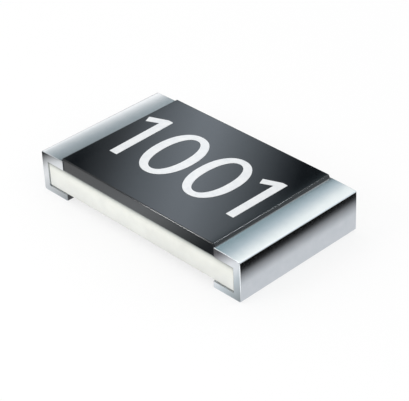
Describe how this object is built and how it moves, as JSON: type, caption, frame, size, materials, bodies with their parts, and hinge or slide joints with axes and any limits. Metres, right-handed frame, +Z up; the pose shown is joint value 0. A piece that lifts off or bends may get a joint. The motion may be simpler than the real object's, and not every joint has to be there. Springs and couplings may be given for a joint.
{
  "type": "smd chip resistor",
  "caption": "Flat surface-mount chip resistor: white ceramic plate with metal terminals wrapped around both ends and a black resin overcoat that carries the value code.",
  "frame": {"origin": "centre of the seating plane, under the middle of the chip", "axes": "+X along the length from terminal to terminal, +Y across the width, +Z up out of the board, overcoat on top"},
  "size_m": [0.003, 0.0018, 0.0005],
  "materials": {
    "alumina": "fired, matt, off-white",
    "silver_electrode": "fired silver, matt",
    "resistor_cermet": "fired, satin, near black",
    "passivation_glass": "fired glaze, glossy",
    "overcoat_resin": "cured resin, satin black",
    "edge_metal": "thin metal film, satin",
    "nickel": "plated, satin",
    "tin": "plated tin, bright satin",
    "marking_ink": "printed ink, matt white"
  },
  "bodies": {
    "root": {"ceramic_substrate": "alumina", "top_electrode_left": "silver_electrode", "top_electrode_right": "silver_electrode", "bottom_electrode_left": "silver_electrode", "bottom_electrode_right": "silver_electrode", "resistive_film": "resistor_cermet", "glass_passivation": "passivation_glass", "protective_overcoat": "overcoat_resin", "edge_film_left": "edge_metal", "edge_film_right": "edge_metal", "nickel_barrier_left": "nickel", "nickel_barrier_right": "nickel", "tin_plating_left": "tin", "tin_plating_right": "tin"}
  },
  "joints": []
}
